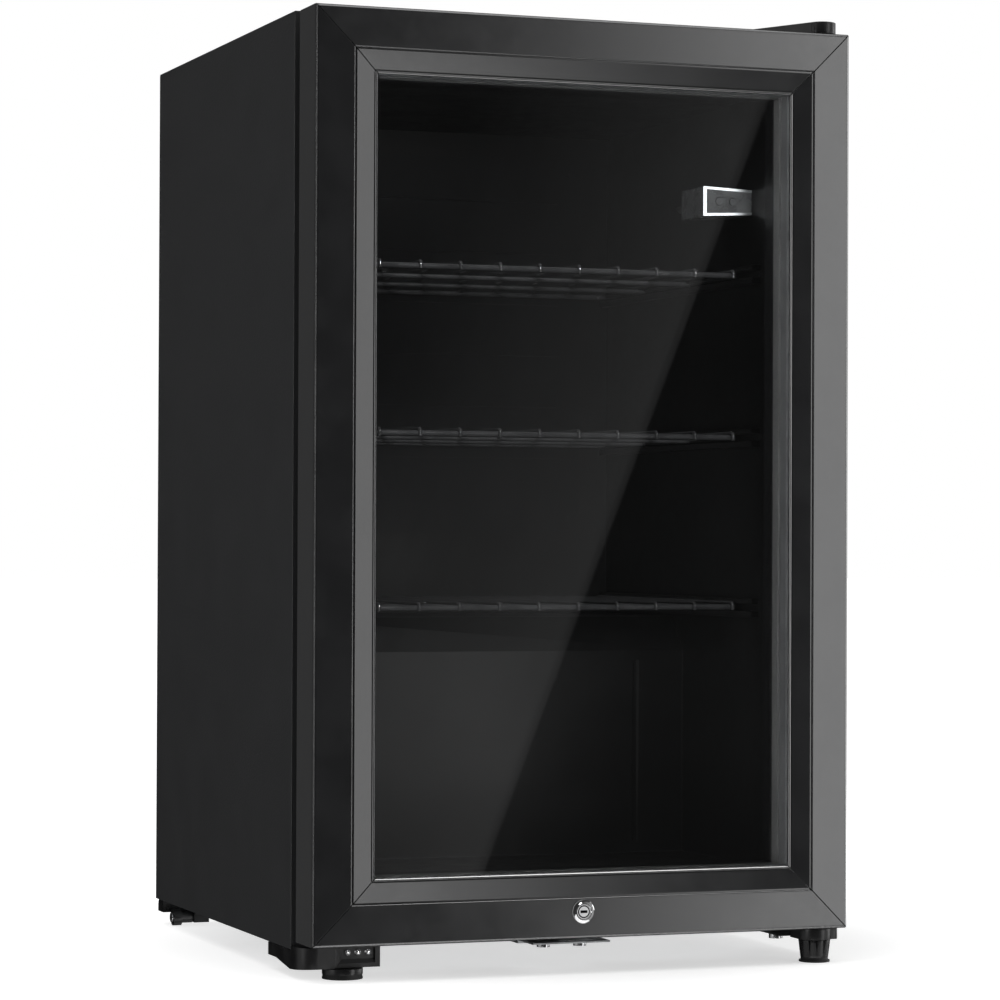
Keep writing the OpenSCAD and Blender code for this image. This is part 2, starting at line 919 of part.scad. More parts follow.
module rail_section() {
  difference() {
    polygon(concat([for (a = [0 : 15 : 90]) rail_round * [1 - sin(a), 1 - cos(a)]], [
      [0, rail_face_w - 0.9], [0.25, rail_face_w - 0.25], [0.8, rail_face_w],
      [1.4, rail_face_w], [1.4, bevel_u0], [0.4, bevel_u0],
      [0.4 + bevel_drop, bead_u0], [4.2, bead_u0 + 0.2], [4.2, bead_u0 + 0.6],
      [3.3, bead_u0 + 0.8], [2.8, bead_u0 + 1.2], [2.6, bead_u0 + 1.7], [2.8, rail_w - 0.8],
      [3.3, rail_w - 0.3], [4, rail_w], [pane_d0 - 0.3, rail_w], [pane_d0 - 0.3, pane_edge - 1.5],
      [unit_back + 0.3, pane_edge - 1.5], [unit_back + 0.3, inner_edge - 0.3],
      [door_t, inner_edge - 0.3], [door_t, dart_u1 + 0.3], [door_t - dart_d - 0.3, dart_u1 + 0.3],
      [door_t - dart_d - 0.3, dart_u0 - 0.3], [door_t, dart_u0 - 0.3], [door_t, 1],
      [door_t - 1, 0]]));
    polygon([[2.5, rail_wall], [2.5, rail_face_w - 1.5], [5, rail_face_w + 3],
      [unit_back - 2, rail_face_w + 3], [door_t - dart_d - 2.5, rail_face_w + 2],
      [door_t - dart_d - 2.5, rail_wall]]);
  }
}

// Hollow rail along X with its outer edge at z = 0, mitred at both ends
module rail(length) {
  reach = rail_w + 5;
  intersection() {
    rotate([90, 0, 90])
      linear_extrude(height = length)
        rail_section();
    translate([0, door_t + 1, 0])
      rotate([90, 0, 0])
        linear_extrude(height = door_t + 2)
          polygon([[mitre, 0], [length - mitre, 0], [length - mitre - reach, reach],
            [mitre + reach, reach]]);
  }
}

module bottom_rail() {
  color("#3a3b3d")
    at_face()
      difference() {
        translate([-half_w, 0, door_z0])
          rail(body_w);
        rod_d(-1, 3, lock_x, lock_z, lock_r + gap);
        block(slot_x0, lock_x + 26, slot_d0, slot_d1, door_z0 - 1, door_z0 + rail_wall + 1);
        rod_z(door_z0 - 1, door_z0 + 3, pivot_x, pivot_d, bush_r + gap);
      }
}

module top_rail() {
  color("#3a3b3d")
    at_face()
      difference() {
        translate([-half_w, 0, door_z1])
          mirror([0, 0, 1])
            rail(body_w);
        rod_z(door_z1 - 3, door_z1 + 1, pivot_x, pivot_d, bush_r + gap);
      }
}

module left_rail() {
  color("#3a3b3d")
    at_face()
      translate([-half_w, 0, door_z0])
        mirror([1, 0, 0])
          rotate([0, -90, 0])
            rail(door_h);
}

module right_rail() {
  color("#3a3b3d")
    at_face()
      translate([half_w, 0, door_z0])
        rotate([0, -90, 0])
          rail(door_h);
}

// L-shaped keys that join the rails inside their chambers
module corner_key(hole) {
  u0 = 3;
  u1 = 27.5;
  d0 = 6;
  d1 = 33;
  reach = 85;
  difference() {
    union() {
      block(u0, reach, d0, d1, u0, u1);
      block(u0, u1, d0, d1, u0, reach);
    }
    if (hole)
      rod_z(0, reach + 1, half_w - pivot_x, pivot_d, bush_r + gap);
    block(u1 + 6, reach - 6, d0 - 1, d1 - 3, u0 + 3, u1 - 3);
  }
}

module corner_keys() {
  color("#222326")
    at_face() {
      translate([-half_w, 0, door_z0])
        corner_key(false);
      translate([-half_w, 0, door_z1])
        mirror([0, 0, 1])
          corner_key(false);
      translate([half_w, 0, door_z0])
        mirror([1, 0, 0])
          corner_key(true);
      translate([half_w, 0, door_z1])
        mirror([1, 0, 0])
          mirror([0, 0, 1])
            corner_key(true);
    }
}

module pin_bush() {
  difference() {
    union() {
      rod_z(0, 24, 0, 0, bush_r);
      rod_z(-1, 0, 0, 0, bush_r + 2);
    }
    rod_z(-2, 25, 0, 0, pin_r + run);
  }
}

module pin_bushes() {
  color("#c9cbcc")
    at_face() {
      translate([pivot_x, pivot_d, door_z0])
        pin_bush();
      translate([pivot_x, pivot_d, door_z1])
        mirror([0, 0, 1])
          pin_bush();
    }
}

module pane(d0) {
  edge_x = half_w - pane_edge;
  color("#20262a")
    at_face()
      round_plate(-edge_x, edge_x, d0, d0 + pane_t, door_z0 + pane_edge, door_z1 - pane_edge, 2);
}

module outer_glass() {
  pane(pane_d0);
}

module inner_glass() {
  pane(pane_d1);
}

module glass_spacer() {
  color("#3b3e41")
    at_face()
      difference() {
        ring(pane_edge + 0.5, rail_w, pane_d0 + pane_t + gap, pane_d1 - gap);
        ring(pane_edge + 1.5, rail_w - 1, pane_d0 + pane_t + 1, pane_d1 - 1);
      }
}

module inner_door_frame() {
  color("#9b9da0")
    at_face() {
      ring(inner_edge, rail_w, unit_back + 0.6, door_t);
      ring(rail_w - 4.5, rail_w, door_t, lip_d1);
    }
}

module gasket() {
  color("#0f0f10")
    at_face() {
      difference() {
        ring(seal_u0, seal_u1, seal_front, seal_back);
        ring(seal_u0 + seal_wall, seal_u1 - seal_wall, seal_front + seal_wall,
          seal_back - seal_wall);
      }
      ring(dart_u0, dart_u1, door_t - dart_d, seal_front);
    }
}

module gasket_magnet() {
  color("#3a3a3a")
    at_face()
      ring(seal_u0 + seal_wall + 0.3, seal_u1 - seal_wall - 0.3, seal_back - seal_wall - 3.6,
        seal_back - seal_wall - 0.2);
}

// ---- Lock ----
module lock_housing() {
  color("#c4c6c8")
    at_face()
      difference() {
        union() {
          rod_d(-gap, cam_d0 - 1.2, lock_x, lock_z, lock_r);
          rod_d(-lock_proud, -gap, lock_x, lock_z, bezel_r);
          translate([lock_x, 7.8, lock_z])
            rotate([90, 0, 0])
              cylinder(h = 4, r = 12, $fn = 6);
        }
        rod_d(-lock_proud - 1, cam_d0, lock_x, lock_z, plug_r + run);
      }
}

module lock_plug() {
  color("#d5d7d9")
    at_face()
      difference() {
        union() {
          rod_d(0.4 - lock_proud, cam_d0 - 0.2, lock_x, lock_z, plug_r);
          rod_d(cam_d0 - 0.3, cam_d0 + cam_t + 1.5, lock_x, lock_z, 3);
        }
        block(lock_x - 2.7, lock_x + 2.7, -lock_proud - 1, 12, lock_z - 0.65, lock_z + 0.65);
        difference() {
          rod_d(-lock_proud - 1, -0.6, lock_x, lock_z, 4.7);
          rod_d(-lock_proud - 2, 0, lock_x, lock_z, 4);
        }
      }
}

module lock_cam() {
  color("#b9bbbd")
    at_face()
      difference() {
        union() {
          rod_d(cam_d0, cam_d0 + cam_t, lock_x, lock_z, cam_r);
          block(lock_x, lock_x + cam_len, cam_d0, cam_d0 + cam_t, lock_z - 4.5, lock_z + 4.5);
        }
        rod_d(cam_d0 - 1, cam_d0 + cam_t + 1, lock_x, lock_z, 3.05);
      }
}

// ---- Shelves ----
module shelf(z) {
  wires = 2 * floor((shelf_x - 8) / wire_pitch) + 1;
  top = z + frame_r + wire_r - 0.5;
  at_face() {
    pipe([[0, shelf_d0, z], [shelf_x, shelf_d0, z], [shelf_x, shelf_d1, z], [-shelf_x, shelf_d1, z],
      [-shelf_x, shelf_d0, z], [0, shelf_d0, z]], frame_r);
    for (d = [shelf_d0 + 95, shelf_d0 + 190])
      rod_x(-shelf_x, shelf_x, d, z - 0.5, wire_r + 0.5);
    for (i = [0 : wires - 1]) {
      x = (i - (wires - 1) / 2) * wire_pitch;
      pipe([[x, shelf_d1 + 1, top], [x, shelf_d0 - 4, top], [x, shelf_d0 - 4, z - 1]], wire_r);
    }
  }
}

module upper_shelf() {
  color("#1a1b1d")
    shelf(shelf_top_z);
}

module middle_shelf() {
  color("#1a1b1d")
    shelf(shelf_mid_z);
}

module lower_shelf() {
  color("#1a1b1d")
    shelf(shelf_low_z);
}

// ---- Front feet ----
sole_z = sole_t - foot_h;
rim_t = 1.4;
rim_w = 1.4;

module left_foot_knob() {
  color("#19191b")
    at_face()
      translate([left_foot_x, left_foot_d, 0]) {
        rod_z(sole_z + gap, -13.1, 0, 0, left_knob_r);
        rod_z(-13.2, 0.5, 0, 0, stud_r);
        rod_z(sole_z - 1.6, sole_z + gap + 0.1, 0, 0, 5);
      }
}

module foot_sole(r, rim) {
  difference() {
    union() {
      rod_z(-foot_h, sole_z, 0, 0, r);
      rod_z(-foot_h, rim_t - foot_h, 0, 0, r + rim);
    }
    rod_z(sole_z - 2, sole_z + 1, 0, 0, 5.06);
  }
}

module left_foot_sole() {
  color("#101011")
    at_face()
      translate([left_foot_x, left_foot_d, 0])
        foot_sole(left_knob_r - 0.3, 0.3);
}

module right_foot_knob() {
  color("#202022")
    at_face()
      translate([pivot_x, pivot_d, 0]) {
        difference() {
          translate([0, 0, sole_z + gap])
            cylinder(h = -3.8 - sole_z, r1 = 10.9, r2 = 12.6);
          for (a = [15 : 30 : 345])
            rotate([0, 0, a])
              translate([13.2, 0, sole_z + 2])
                rotate([0, 0, 45])
                  translate([-1.5, -1.5, 0])
                    cube([3, 3, 20]);
        }
        rod_z(-4, 11, 0, 0, stud_r);
        rod_z(sole_z - 1.6, sole_z + gap + 0.1, 0, 0, 5);
      }
}

module right_foot_sole() {
  color("#101011")
    at_face()
      translate([pivot_x, pivot_d, 0])
        foot_sole(10.8, rim_w);
}

left_side_panel();
right_side_panel();
top_panel();
foam_insulation();
inner_liner();
back_panel();
base_panel();
evaporator_plate();
condenser_tube();
condenser_wires();
compressor();
compressor_grommets();
compressor_bolts();
relay_box();
machine_floor_plate();
filter_drier();
refrigerant_tubes();
evaporation_tray();
drain_tube();
roller_brackets();
roller_axles();
cord_gland();
control_housing();
light_guide();
temperature_sensor();
top_hinge_plate();
top_hinge_screws();
hinge_cover();
lower_hinge_plate();
underside_screws();
corner_bracket();
spare_hinge_bolts();
strike_plate();
back_screws();
top_rail();
bottom_rail();
left_rail();
right_rail();
corner_keys();
outer_glass();
inner_glass();
glass_spacer();
inner_door_frame();
gasket();
gasket_magnet();
pin_bushes();
lock_housing();
lock_plug();
lock_cam();
upper_shelf();
middle_shelf();
lower_shelf();
left_foot_knob();
left_foot_sole();
right_foot_knob();
right_foot_sole();
left_roller();
right_roller();
up_button();
down_button();
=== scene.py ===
"""Looks for the glass-door mini fridge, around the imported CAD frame. Metres, front faces -Y."""
import math

import bmesh
import bpy
from mathutils import Matrix, Vector


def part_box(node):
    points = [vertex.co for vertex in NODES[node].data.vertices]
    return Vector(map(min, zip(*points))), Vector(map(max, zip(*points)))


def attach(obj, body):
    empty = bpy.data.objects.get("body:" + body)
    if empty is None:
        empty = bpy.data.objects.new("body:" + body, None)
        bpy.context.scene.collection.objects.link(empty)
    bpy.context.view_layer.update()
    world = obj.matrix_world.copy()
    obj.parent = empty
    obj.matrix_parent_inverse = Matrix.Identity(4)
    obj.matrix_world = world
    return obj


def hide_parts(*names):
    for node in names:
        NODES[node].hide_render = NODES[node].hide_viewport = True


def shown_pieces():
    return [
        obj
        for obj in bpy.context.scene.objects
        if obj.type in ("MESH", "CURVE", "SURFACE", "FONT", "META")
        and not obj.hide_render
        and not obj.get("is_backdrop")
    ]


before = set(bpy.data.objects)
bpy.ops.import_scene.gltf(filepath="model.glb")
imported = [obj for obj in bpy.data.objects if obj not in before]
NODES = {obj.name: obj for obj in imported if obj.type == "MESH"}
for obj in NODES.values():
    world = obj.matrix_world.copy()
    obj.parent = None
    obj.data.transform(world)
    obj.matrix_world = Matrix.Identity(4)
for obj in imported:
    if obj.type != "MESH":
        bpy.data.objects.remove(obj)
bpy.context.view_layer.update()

scene = bpy.context.scene
MM = 0.001

# ---------------------------------------------------------------- camera
# Fitted to the edges of the object in the photograph; angles in radians.
YAW, PITCH, ROLL = 0.3574, 0.0109, 0.004
CAMERA_PLACE = (-0.99539, -2.69501, 0.3328)
LENS_MM, SENSOR_MM = 125.4, 36.0
fwd = Vector((math.sin(YAW) * math.cos(PITCH), math.cos(YAW) * math.cos(PITCH), math.sin(PITCH)))
right = Vector((math.cos(YAW), -math.sin(YAW), 0.0))
up = right.cross(fwd)
cam_x = right * math.cos(ROLL) + up * math.sin(ROLL)
cam_y = -right * math.sin(ROLL) + up * math.cos(ROLL)
cam_data = bpy.data.cameras.new("camera")
cam_data.lens = LENS_MM
cam_data.sensor_width = SENSOR_MM
cam_data.clip_start, cam_data.clip_end = 0.05, 60.0
camera = bpy.data.objects.new("camera", cam_data)
scene.collection.objects.link(camera)
rot = Matrix((cam_x, cam_y, -fwd)).transposed().to_4x4()
camera.matrix_world = Matrix.Translation(CAMERA_PLACE) @ rot
scene.camera = camera

# ---------------------------------------------------------------- materials


def nodes_of(mat):
    """Empties a material's node tree and gives it back with a new output node."""
    mat.use_nodes = True
    nt = mat.node_tree
    nt.nodes.clear()
    return nt, add(nt, "OutputMaterial")


def add(nt, kind, **values):
    """New shader node, with its properties set."""
    n = nt.nodes.new("ShaderNode" + kind)
    for k, v in values.items():
        setattr(n, k, v)
    return n


def put(nt, n, **inputs):
    """Sets or links a node's inputs by name, with _ for a space."""
    for k, v in inputs.items():
        s = n.inputs[k.replace("_", " ")]
        if isinstance(v, bpy.types.NodeSocket):
            nt.links.new(v, s)
        else:
            s.default_value = v


def combine(nt, operation, a, b):
    """Result of a maths node on two sockets."""
    m = add(nt, "Math", operation=operation)
    nt.links.new(a, m.inputs[0])
    nt.links.new(b, m.inputs[1])
    return m.outputs[0]


def part_of(nt, vec, axis):
    """One component of a vector, by its number."""
    sep = add(nt, "SeparateXYZ")
    nt.links.new(vec, sep.inputs[0])
    return sep.outputs[axis]


def coords(nt, stretch=(1, 1, 1)):
    """Places in the frame at rest, in metres; they stay with a piece when its body moves."""
    tc = add(nt, "TexCoord")
    mp = add(nt, "Mapping")
    put(nt, mp, Vector=tc.outputs["Object"], Scale=stretch)
    return mp.outputs[0]


def noise(nt, vec, scale, detail=3.0):
    n = add(nt, "TexNoise")
    put(nt, n, Vector=vec, Scale=scale, Detail=detail, Roughness=0.55)
    return n.outputs["Fac"]


def ramp(nt, fac, a, b, lo=0.3, hi=0.7):
    """Smooth step from a to b while fac goes from lo to hi."""
    m = add(nt, "MapRange")
    m.interpolation_type = "SMOOTHSTEP"
    put(nt, m, Value=fac, From_Min=lo, From_Max=hi, To_Min=a, To_Max=b)
    return m.outputs[0]


def mix_colour(nt, fac, a, b):
    """Blend from a to b by fac; each is a socket or an RGB tuple."""
    m = add(nt, "Mix", data_type="RGBA")
    for key, v in (("A", a), ("B", b)):
        s = [i for i in m.inputs if i.name == key and i.type == "RGBA"][0]
        if isinstance(v, bpy.types.NodeSocket):
            nt.links.new(v, s)
        else:
            s.default_value = (*v, 1.0)
    nt.links.new(fac, m.inputs[0])
    return [o for o in m.outputs if o.type == "RGBA"][0]


FINE_SCALE = 9.0
COAT_ROUGH = 0.1
DUST_COLOUR = (0.3, 0.29, 0.27)
PLAIN_GRAIN = (("noise", 900.0, 0.00004, 0.25),)


def surface(name, base, rough, metal=0.0, vary=0.18, patch=35.0, rough_vary=0.06, stretch=(1, 1, 1),
            grain=PLAIN_GRAIN, coat=0.0, spec=0.5, dust=0.0, tint=None):
    """Procedural surface: slow colour patches, roughness drift, fine grain bumps, faint dust on top faces.

    The colour drifts by the share vary from base, or from base to tint, in patches of scale patch per metre.
    grain is a list of (kind, scale per metre, height in metres, strength).
    """
    mat = bpy.data.materials.new(name)
    nt, out = nodes_of(mat)
    vec = coords(nt, stretch)
    slow = noise(nt, vec, patch, 4.0)
    fine = noise(nt, vec, patch * FINE_SCALE, 2.0)
    dark = tuple(c * (1 - vary) for c in base)
    light = tuple(min(1.0, c * (1 + vary)) for c in (tint or base))
    colour = mix_colour(nt, ramp(nt, slow, 0, 1), dark, light)
    p = add(nt, "BsdfPrincipled")
    drift = combine(nt, "ADD", ramp(nt, slow, rough - rough_vary, rough + rough_vary),
                    ramp(nt, fine, -rough_vary * 0.4, rough_vary * 0.4))
    if dust:
        geo = add(nt, "NewGeometry")
        facing = ramp(nt, part_of(nt, geo.outputs["Normal"], 2), 0.0, dust, 0.6, 1.0)
        lying = combine(nt, "MULTIPLY", facing, ramp(nt, fine, 0.2, 1.0))
        colour = mix_colour(nt, lying, colour, DUST_COLOUR)
    nt.links.new(colour, p.inputs["Base Color"])
    nt.links.new(drift, p.inputs["Roughness"])
    put(nt, p, Metallic=metal, IOR=1.5, Specular_IOR_Level=spec, Coat_Weight=coat, Coat_Roughness=COAT_ROUGH)
    last = None
    for kind, scale, height, strength in grain:
        b = add(nt, "Bump")
        put(nt, b, Strength=strength, Distance=height)
        if kind == "voronoi":
            v = add(nt, "TexVoronoi", feature="SMOOTH_F1")
            put(nt, v, Vector=vec, Scale=scale, Randomness=1.0, Smoothness=0.6)
            h = v.outputs["Distance"]
        else:
            h = noise(nt, vec, scale, 2.5)
        nt.links.new(h, b.inputs["Height"])
        if last is not None:
            nt.links.new(last, b.inputs["Normal"])
        last = b.outputs[0]
    nt.links.new(last, p.inputs["Normal"])
    nt.links.new(p.outputs[0], out.inputs[0])
    return mat


GLASS_ROUGH = (0.004, 0.02)


def glass(name, tint, ior):
    """Thin pane: what is behind shows through a tint, and Fresnel gives the mirror part."""
    mat = bpy.data.materials.new(name)
    nt, out = nodes_of(mat)
    vec = coords(nt)
    slow = noise(nt, vec, 14.0, 5.0)
    tr = add(nt, "BsdfTransparent")
    gl = add(nt, "BsdfGlossy")
    fr = add(nt, "Fresnel")
    fr.inputs["IOR"].default_value = ior
    mx = add(nt, "MixShader")
    nt.links.new(mix_colour(nt, ramp(nt, slow, 0, 1), tuple(c * 0.985 for c in tint), tint), tr.inputs[0])
    gl.inputs["Color"].default_value = (1, 1, 1, 1)
    nt.links.new(ramp(nt, slow, *GLASS_ROUGH), gl.inputs["Roughness"])
    nt.links.new(fr.outputs[0], mx.inputs[0])
    nt.links.new(tr.outputs[0], mx.inputs[1])
    nt.links.new(gl.outputs[0], mx.inputs[2])
    nt.links.new(mx.outputs[0], out.inputs[0])
    return mat


def tint_base(mat, fac, colour):
    """Blends a surface's colour towards another one by fac."""
    nt = mat.node_tree
    p = [n for n in nt.nodes if n.type == "BSDF_PRINCIPLED"][0]
    was = p.inputs["Base Color"].links[0].from_socket
    nt.links.new(mix_colour(nt, fac, was, colour), p.inputs["Base Color"])


def paint_depth_shade(mat, colour, y0, y1):
    """Paints shade: fades a surface's colour to a darker one from y0 back to y1, as shade deepens into a
    recess.
    """
    nt = mat.node_tree
    tint_base(mat, ramp(nt, part_of(nt, coords(nt), 1), 0, 1, y0, y1), colour)


# Near-black painted shade for the lock plug's groove and slot.
PLUG_PAINTED_SHADE = (0.012, 0.012, 0.012)
RING_IN, RING_OUT = (3.8 * MM, 4.1 * MM), (4.8 * MM, 5.1 * MM)
SLOT_HALF_WIDTH, SLOT_HALF_HEIGHT = (2.7 * MM, 3.0 * MM), (0.9 * MM, 1.2 * MM)


def paint_plug_shade(mat, cx, cz):
    """Paints shade into the lock plug's ring groove and key slot, a little past their edges, where shade
    falls in the recesses.
    """
    nt = mat.node_tree
    flat = coords(nt, (1, 0, 1))
    span = add(nt, "VectorMath", operation="DISTANCE")
    nt.links.new(flat, span.inputs[0])
    span.inputs[1].default_value = (cx, 0, cz)
    r = span.outputs["Value"]
    ring = combine(nt, "MULTIPLY", ramp(nt, r, 0, 1, *RING_IN), ramp(nt, r, 1, 0, *RING_OUT))
    off = add(nt, "VectorMath", operation="SUBTRACT")
    nt.links.new(flat, off.inputs[0])
    off.inputs[1].default_value = (cx, 0, cz)
    size = add(nt, "VectorMath", operation="ABSOLUTE")
    nt.links.new(off.outputs[0], size.inputs[0])
    along = ramp(nt, part_of(nt, size.outputs[0], 0), 1, 0, *SLOT_HALF_WIDTH)
    high = ramp(nt, part_of(nt, size.outputs[0], 2), 1, 0, *SLOT_HALF_HEIGHT)
    slot = combine(nt, "MULTIPLY", along, high)
    tint_base(mat, combine(nt, "MAXIMUM", ring, slot), PLUG_PAINTED_SHADE)


def lamp_material(name, colour, strength):
    """Light guide: brightest at its left end and fading to the right, with faint cloudy variation."""
    mat = bpy.data.materials.new(name)
    nt, out = nodes_of(mat)
    vec = coords(nt)
    p = add(nt, "BsdfPrincipled")
    p.inputs["Roughness"].default_value = 0.35
    tone = mix_colour(nt, ramp(nt, noise(nt, vec, 120.0), 0, 1), tuple(c * 0.9 for c in colour), colour)
    nt.links.new(tone, p.inputs["Base Color"])
    nt.links.new(tone, p.inputs["Emission Color"])
    lo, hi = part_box("light_guide")
    fade = ramp(nt, part_of(nt, vec, 0), strength, strength * 0.04, lo.x + 20 * MM, hi.x - 3 * MM)
    nt.links.new(fade, p.inputs["Emission Strength"])
    nt.links.new(p.outputs[0], out.inputs[0])
    return mat


STIPPLE = [("voronoi", 620.0, 0.00022, 0.5), ("noise", 1500.0, 0.00006, 0.35)]
MAT = {
    "paint": surface("textured_black_paint", (0.0135, 0.0138, 0.0145), 0.48, vary=0.05, patch=22.0,
                     rough_vary=0.004, grain=STIPPLE, dust=0.04),
    "rail": surface("charcoal_satin_rail", (0.0055, 0.0056, 0.0059), 0.2, vary=0.12, patch=22.0,
                    rough_vary=0.02, grain=[("noise", 2200.0, 0.00002, 0.05)]),
    "liner": surface("liner_plastic", (0.024, 0.0243, 0.0249), 0.36, vary=0.15, patch=12.0,
                     grain=[("noise", 700.0, 0.00005, 0.2)]),
    "inner_frame": surface("grey_door_liner", (0.275, 0.275, 0.275), 0.42, vary=0.06, patch=18.0,
                           grain=[("noise", 900.0, 0.00001, 0.08)]),
    "black_plastic": surface("black_moulded_plastic", (0.011, 0.011, 0.0115), 0.36, vary=0.2, patch=60.0,
                             grain=[("noise", 1400.0, 0.00004, 0.25)]),
    "knob_plastic": surface("knob_plastic", (0.010, 0.010, 0.0105), 0.3, vary=0.2, patch=90.0,
                            grain=[("noise", 1800.0, 0.00003, 0.2)]),
    "rubber": surface("black_rubber", (0.0095, 0.0095, 0.0095), 0.62, vary=0.25, patch=70.0,
                      grain=[("noise", 1600.0, 0.00006, 0.4)]),
    "gasket": surface("gasket_vinyl", (0.0035, 0.0035, 0.0036), 0.6, vary=0.2, patch=40.0, spec=0.15),
    "zinc": surface("galvanised_steel", (0.42, 0.43, 0.44), 0.38, metal=1.0, vary=0.22, patch=45.0,
                    rough_vary=0.09, grain=[("voronoi", 160.0, 0.00003, 0.25)]),
    "back": surface("grey_back_steel", (0.075, 0.077, 0.08), 0.45, metal=0.3, vary=0.15, patch=14.0,
                    grain=[("noise", 900.0, 0.00005, 0.25)]),
    "bright": surface("bright_plated_steel", (0.6, 0.6, 0.61), 0.2, metal=1.0, vary=0.12, patch=120.0,
                      rough_vary=0.06),
    "chrome": surface("polished_chrome", (0.72, 0.72, 0.73), 0.09, metal=1.0, vary=0.05, patch=150.0,
                      rough_vary=0.02, grain=[("noise", 600.0, 0.00001, 0.04)]),
    "plug": surface("lock_plug_chrome", (0.72, 0.72, 0.73), 0.12, metal=1.0, vary=0.05, patch=150.0,
                    rough_vary=0.02, grain=[("noise", 600.0, 0.00001, 0.04)]),
    "coated": surface("black_coated_steel", (0.012, 0.012, 0.0125), 0.32, vary=0.2, patch=70.0,
                      grain=[("noise", 1300.0, 0.00004, 0.25)]),
    "wire": surface("coated_wire", (0.010, 0.010, 0.0105), 0.16, vary=0.2, patch=80.0, coat=0.3,
                    rough_vary=0.04, grain=[("noise", 500.0, 0.00006, 0.2)]),
    "compressor": surface("compressor_paint", (0.012, 0.012, 0.013), 0.33, vary=0.2, patch=40.0,
                          grain=[("noise", 300.0, 0.0001, 0.3)], dust=0.12),
    "copper": surface("copper_tube", (0.72, 0.33, 0.19), 0.26, metal=1.0, vary=0.25, patch=60.0,
                      rough_vary=0.08, tint=(0.62, 0.30, 0.2)),
    "aluminium": surface("coated_aluminium", (0.03, 0.031, 0.033), 0.4, metal=0.2, vary=0.12,
                         patch=30.0, rough_vary=0.03, stretch=(1, 1, 0.4)),
    "white_plastic": surface("white_plastic", (0.62, 0.63, 0.63), 0.4, vary=0.08, patch=60.0),
    "foam": surface("rigid_foam", (0.66, 0.57, 0.30), 0.85, vary=0.15, patch=40.0,
                    grain=[("voronoi", 700.0, 0.0003, 0.6)]),
    "spacer": surface("spacer_bar", (0.25, 0.255, 0.26), 0.4, vary=0.08, patch=60.0),
    "button": surface("button_plastic", (0.10, 0.102, 0.106), 0.35, vary=0.15, patch=200.0),
    "panel": surface("control_face", (0.085, 0.087, 0.09), 0.3, vary=0.12, patch=60.0),
    "glass": glass("tinted_glass", (0.88, 0.883, 0.883), 1.45),
    "glass_in": glass("clear_glass", (0.97, 0.972, 0.971), 1.4),
    "lamp": lamp_material("light_guide_white", (0.93, 0.97, 1.0), 2.3),
}

# Painted shade in the lock plug's ring groove and key slot.
lo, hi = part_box("lock_plug")
paint_plug_shade(MAT["plug"], (lo.x + hi.x) / 2, (lo.z + hi.z) / 2)
# Painted shade: the grey door liner darkens to near black deeper behind the glass, where its reveal falls
# into shade.
lo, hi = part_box("inner_door_frame")
paint_depth_shade(MAT["inner_frame"], (0.012, 0.012, 0.013), lo.y + 8.5 * MM, lo.y + 10.5 * MM)

# The pieces of each material.
USE = {
    "paint": ["left_side_panel", "right_side_panel", "top_panel"],
    "rail": ["top_rail", "bottom_rail", "left_rail", "right_rail"],
    "liner": ["inner_liner"],
    "inner_frame": ["inner_door_frame"],
    "black_plastic": ["relay_box", "evaporation_tray", "hinge_cover", "corner_bracket", "corner_keys",
                      "left_roller", "right_roller"],
    "knob_plastic": ["left_foot_knob", "right_foot_knob"],
    "rubber": ["compressor_grommets", "cord_gland", "left_foot_sole", "right_foot_sole",
               "gasket_magnet"],
    "gasket": ["gasket"],
    "zinc": ["base_panel", "machine_floor_plate", "strike_plate"],
    "back": ["back_panel"],
    "bright": ["compressor_bolts", "roller_axles", "top_hinge_plate", "top_hinge_screws",
               "underside_screws", "spare_hinge_bolts", "back_screws", "lock_cam"],
    "chrome": ["lock_housing"],
    "plug": ["lock_plug"],
    "coated": ["condenser_tube", "condenser_wires", "roller_brackets", "lower_hinge_plate"],
    "wire": ["upper_shelf", "middle_shelf", "lower_shelf"],
    "compressor": ["compressor"],
    "copper": ["filter_drier", "refrigerant_tubes"],
    "aluminium": ["evaporator_plate"],
    "white_plastic": ["drain_tube", "temperature_sensor", "pin_bushes"],
    "foam": ["foam_insulation"],
    "spacer": ["glass_spacer"],
    "button": ["up_button", "down_button"],
    "panel": ["control_housing"],
    "glass": ["outer_glass"],
    "glass_in": ["inner_glass"],
    "lamp": ["light_guide"],
}
# Edge rounding by node or, failing that, by material. The others keep the edges of the CAD.
BEVEL_MM = {
    "rail": 0.5, "hinge_cover": 1.4, "corner_bracket": 0.9, "left_foot_knob": 0.8,
    "left_foot_sole": 0.8, "right_foot_sole": 0.6, "right_foot_knob": 0.5, "evaporation_tray": 0.8,
    "relay_box": 2.0, "top_panel": 0.35, "left_side_panel": 0.35, "right_side_panel": 0.35,
    "inner_liner": 0.7, "lower_hinge_plate": 0.6, "compressor_grommets": 0.8, "left_roller": 0.6,
    "right_roller": 0.6, "lock_plug": 0.25, "control_housing": 0.3, "light_guide": 0.2,
    "cord_gland": 0.6, "machine_floor_plate": 0.5, "inner_door_frame": 0.5, "strike_plate": 0.3,
    "compressor_bolts": 0.4, "underside_screws": 0.7, "back_screws": 0.7,
    "roller_brackets": 0.8, "up_button": 0.5, "down_button": 0.5, "lock_cam": 0.4,
}


def soften(obj, width_mm):
    """Rounds the sharp edges with modifiers; the mesh itself stays as it is."""
    weld = obj.modifiers.new("weld", "WELD")
    weld.merge_threshold = 1e-6
    bev = obj.modifiers.new("edges", "BEVEL")
    bev.width = width_mm * MM
    bev.segments = 3
    bev.limit_method = "ANGLE"
    bev.angle_limit = math.radians(30.0)
    bev.harden_normals = False
    bev.use_clamp_overlap = True


def paint(obj, mat):
    obj.data.materials.clear()
    obj.data.materials.append(mat)


for key, names in USE.items():
    for n in names:
        paint(NODES[n], MAT[key])
        width = BEVEL_MM.get(n, BEVEL_MM.get(key))
        if width:
            soften(NODES[n], width)

# ---------------------------------------------------------------- mesh helpers


